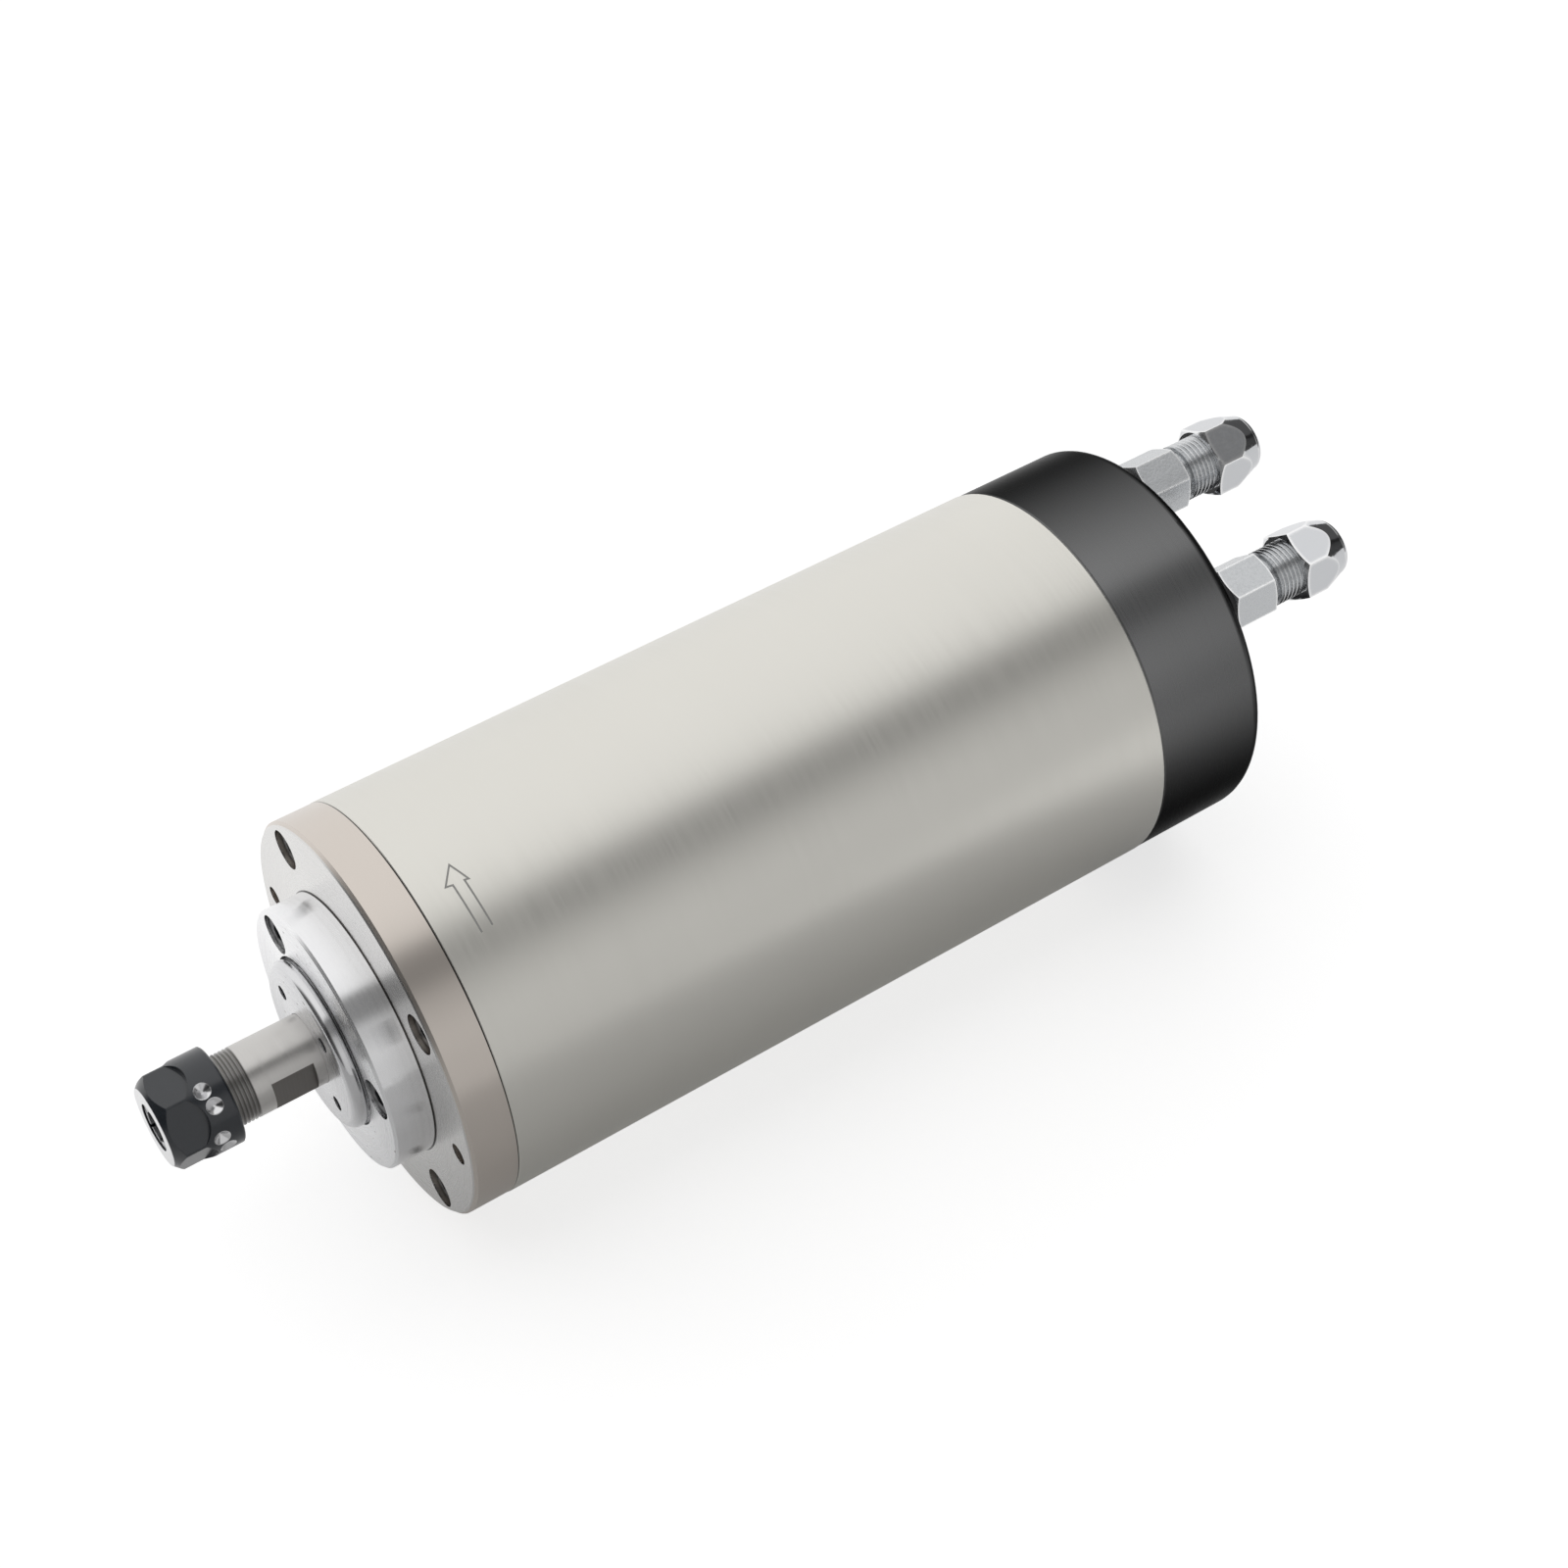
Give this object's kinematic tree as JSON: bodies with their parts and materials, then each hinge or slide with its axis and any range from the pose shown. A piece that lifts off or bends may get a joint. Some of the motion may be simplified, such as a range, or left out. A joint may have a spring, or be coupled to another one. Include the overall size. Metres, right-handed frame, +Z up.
{
  "type": "motor spindle",
  "caption": "Water cooled high speed motor spindle with a cylindrical clamping sleeve, a collet nose, hose fittings and a power socket.",
  "frame": {"origin": "on the spindle axis, halfway along the sleeve that a bracket clamps", "axes": "+X along the spindle axis from the collet nose to the water fittings, +Z up, with the spindle lying on its side"},
  "size_m": [0.2528, 0.08, 0.08],
  "materials": {
    "sleeve": "fine ground, satin",
    "flange": "turned, fine grooves",
    "cap_steel": "bright turned",
    "ground_steel": "ground",
    "black_steel": "black oxide, satin",
    "collet_steel": "ground, satin",
    "bearing_steel": "polished",
    "cage_plastic": "plain",
    "jacket_alloy": "turned",
    "housing_alloy": "turned",
    "black_alloy": "black anodised, satin",
    "lamination": "stacked sheet, varnished",
    "rotor_alloy": "cast",
    "copper": "varnished wire",
    "brass": "turned",
    "nickel": "nickel plated, bright",
    "seal_rubber": "matt",
    "wire_cover": "plain",
    "black_plastic": "plain",
    "gold_contact": "gold plated"
  },
  "bodies": {
    "housing": {"outer_sleeve": "sleeve", "water_jacket": "jacket_alloy", "jacket_seals": "seal_rubber", "nose_flange": "flange", "flange_screws": "black_steel", "bearing_cap": "cap_steel", "bearing_cap_screws": "black_steel", "front_outer_rings": "bearing_steel", "outer_spacer": "ground_steel", "stator_core": "lamination", "stator_winding": "copper", "lead_wires": "wire_cover", "rear_housing": "housing_alloy", "rear_housing_screws": "black_steel", "rear_outer_ring": "bearing_steel", "preload_spring": "ground_steel", "rear_cover": "housing_alloy", "rear_cover_screws": "black_steel", "rear_cap": "black_alloy", "rear_cap_screws": "black_steel", "water_pipes": "copper", "fitting_washers": "seal_rubber", "fitting_body_a": "nickel", "fitting_body_b": "nickel", "socket_gasket": "seal_rubber", "socket_shell": "nickel", "socket_insulator": "black_plastic", "socket_pins": "gold_contact", "socket_lock_nut": "nickel"},
    "spindle": {"spindle_shaft": "ground_steel", "slinger_ring": "ground_steel", "front_inner_rings": "bearing_steel", "inner_spacer": "ground_steel", "rotor_core": "lamination", "rotor_cage": "rotor_alloy", "balance_rings": "brass", "rear_inner_ring": "bearing_steel", "rear_lock_nut": "black_steel"},
    "front_ball_set": {"front_balls": "bearing_steel", "front_cages": "cage_plastic"},
    "rear_ball_set": {"rear_balls": "bearing_steel", "rear_cage": "cage_plastic"},
    "collet": {"collet": "collet_steel"},
    "nut": {"collet_nut": "black_steel"},
    "ferrule_a": {"ferrule_a": "brass"},
    "hose_nut_a": {"hose_nut_a": "nickel"},
    "ferrule_b": {"ferrule_b": "brass"},
    "hose_nut_b": {"hose_nut_b": "nickel"}
  },
  "joints": [
    {"name": "spindle_spin", "type": "hinge", "parent": "housing", "child": "spindle", "pos_m": [0, 0, 0], "axis": [-1, 0, 0], "continuous": true},
    {"name": "front_balls_turn", "type": "hinge", "parent": "housing", "child": "front_ball_set", "pos_m": [-0.0673, 0, 0], "axis": [-1, 0, 0], "continuous": true},
    {"name": "rear_balls_turn", "type": "hinge", "parent": "housing", "child": "rear_ball_set", "pos_m": [0.0608, 0, 0], "axis": [-1, 0, 0], "continuous": true},
    {"name": "collet_draw", "type": "slide", "parent": "spindle", "child": "collet", "axis": [-1, 0, 0], "range_m": [0, 0.0045]},
    {"name": "nut_turn", "type": "hinge", "parent": "collet", "child": "nut", "pos_m": [-0.1177, 0, 0], "axis": [-1, 0, 0], "range_deg": [0, 2160]},
    {"name": "ferrule_a_slide", "type": "slide", "parent": "housing", "child": "ferrule_a", "axis": [1, 0, 0], "range_m": [0, 0.004]},
    {"name": "hose_nut_a_turn", "type": "hinge", "parent": "ferrule_a", "child": "hose_nut_a", "pos_m": [0.1225, 0.00636, 0.03126], "axis": [1, 0, 0], "range_deg": [0, 1440]},
    {"name": "ferrule_b_slide", "type": "slide", "parent": "housing", "child": "ferrule_b", "axis": [1, 0, 0], "range_m": [0, 0.004]},
    {"name": "hose_nut_b_turn", "type": "hinge", "parent": "ferrule_b", "child": "hose_nut_b", "pos_m": [0.1225, -0.02134, 0.02371], "axis": [1, 0, 0], "range_deg": [0, 1440]}
  ],
  "couplings": [
    {"joint": "front_balls_turn", "follows": "spindle_spin", "ratio": 0.4014},
    {"joint": "rear_balls_turn", "follows": "spindle_spin", "ratio": 0.39},
    {"joint": "collet_draw", "follows": "nut_turn", "m_per_rad": 0.00011937},
    {"joint": "ferrule_a_slide", "follows": "hose_nut_a_turn", "m_per_rad": 0.00015915},
    {"joint": "ferrule_b_slide", "follows": "hose_nut_b_turn", "m_per_rad": 0.00015915}
  ]
}
